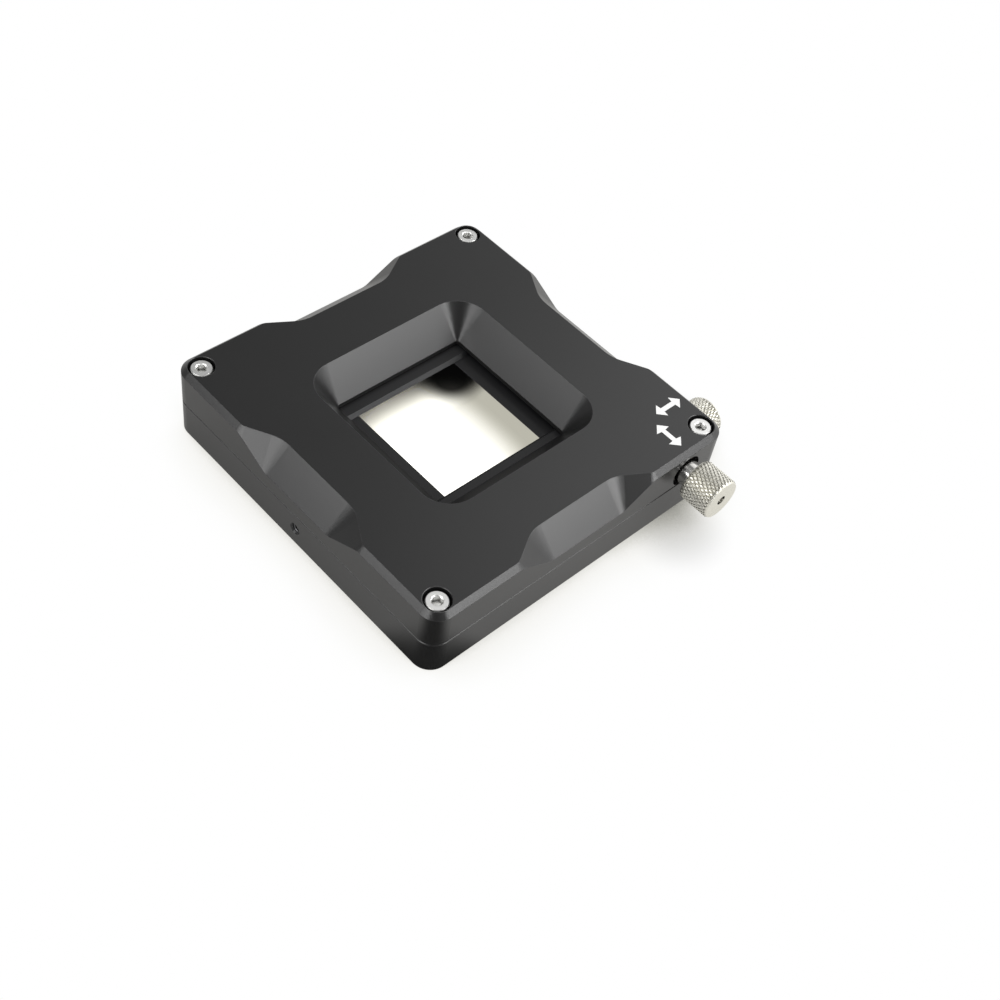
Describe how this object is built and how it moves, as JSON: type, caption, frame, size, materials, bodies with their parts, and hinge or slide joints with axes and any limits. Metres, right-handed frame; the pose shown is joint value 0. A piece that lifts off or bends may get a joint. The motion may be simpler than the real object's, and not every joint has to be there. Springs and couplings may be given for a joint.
{
  "type": "adjustable mechanical slit",
  "caption": "Flat square box with a funnelled square window, closed from all four sides by sliding knife-edge blades that knurled side knobs set in pairs.",
  "frame": {"origin": "on the beam axis, at the centre of the window, in the bottom face of the base", "axes": "+Z along the beam axis out of the cover, +X out of the side with the x pair's knob, +Y out of the side with the y pair's knob, -Y out of the side with the post hole"},
  "size_m": [0.1324, 0.1324, 0.025],
  "materials": {
    "housing": "black anodised, fine satin",
    "blades": "black anodised, satin",
    "carriages": "black anodised, satin",
    "knobs": "nickel bright, diamond knurled",
    "screws": "stainless, bright",
    "spindles": "ground, threaded",
    "rods": "hardened and ground",
    "keepers": "plain milled",
    "brass": "turned",
    "bronze": "sintered bronze",
    "washers": "plain",
    "grubs": "black oxide"
  },
  "bodies": {
    "housing": {"base": "housing", "cover": "housing", "cover_screws": "screws", "x_front_bush": "bronze", "x_end_bush": "bronze", "x_thrust_washers": "washers", "x_rod_neg": "rods", "x_rod_pos": "rods", "x_rod_keepers": "keepers", "y_front_bush": "bronze", "y_end_bush": "bronze", "y_thrust_washers": "washers", "y_rod_neg": "rods", "y_rod_pos": "rods", "y_rod_keepers": "keepers"},
    "x_spindle_set": {"x_spindle": "spindles", "x_knob": "knobs", "x_knob_grub": "grubs"},
    "x_carriage_neg": {"x_blade_neg": "blades", "x_nut_block_neg": "carriages", "x_slide_block_neg": "carriages", "x_nut_neg": "brass", "x_rod_sleeves_neg": "bronze", "x_blade_screws_neg": "screws"},
    "x_carriage_pos": {"x_blade_pos": "blades", "x_nut_block_pos": "carriages", "x_slide_block_pos": "carriages", "x_nut_pos": "brass", "x_rod_sleeves_pos": "bronze", "x_blade_screws_pos": "screws"},
    "y_spindle_set": {"y_spindle": "spindles", "y_knob": "knobs", "y_knob_grub": "grubs"},
    "y_carriage_neg": {"y_blade_neg": "blades", "y_nut_block_neg": "carriages", "y_slide_block_neg": "carriages", "y_nut_neg": "brass", "y_rod_sleeves_neg": "bronze", "y_blade_screws_neg": "screws"},
    "y_carriage_pos": {"y_blade_pos": "blades", "y_nut_block_pos": "carriages", "y_slide_block_pos": "carriages", "y_nut_pos": "brass", "y_rod_sleeves_pos": "bronze", "y_blade_screws_pos": "screws"}
  },
  "joints": [
    {"name": "x_knob_turn", "type": "hinge", "parent": "housing", "child": "x_spindle_set", "pos_m": [0, 0.0423, 0.0168], "axis": [1, 0, 0], "range_deg": [-7109, 971]},
    {"name": "x_blade_neg_slide", "type": "slide", "parent": "housing", "child": "x_carriage_neg", "axis": [-1, 0, 0], "range_m": [-0.01975, 0.0027]},
    {"name": "x_blade_pos_slide", "type": "slide", "parent": "housing", "child": "x_carriage_pos", "axis": [1, 0, 0], "range_m": [-0.01975, 0.0027]},
    {"name": "y_knob_turn", "type": "hinge", "parent": "housing", "child": "y_spindle_set", "pos_m": [0.0423, 0, 0.0069], "axis": [0, 1, 0], "range_deg": [-6986, 1093]},
    {"name": "y_blade_neg_slide", "type": "slide", "parent": "housing", "child": "y_carriage_neg", "axis": [0, -1, 0], "range_m": [-0.01941, 0.00304]},
    {"name": "y_blade_pos_slide", "type": "slide", "parent": "housing", "child": "y_carriage_pos", "axis": [0, 1, 0], "range_m": [-0.01941, 0.00304]}
  ],
  "couplings": [
    {"joint": "x_blade_neg_slide", "follows": "x_knob_turn", "m_per_rad": 0.00015915},
    {"joint": "x_blade_pos_slide", "follows": "x_knob_turn", "m_per_rad": 0.00015915},
    {"joint": "y_blade_neg_slide", "follows": "y_knob_turn", "m_per_rad": 0.00015915},
    {"joint": "y_blade_pos_slide", "follows": "y_knob_turn", "m_per_rad": 0.00015915}
  ]
}
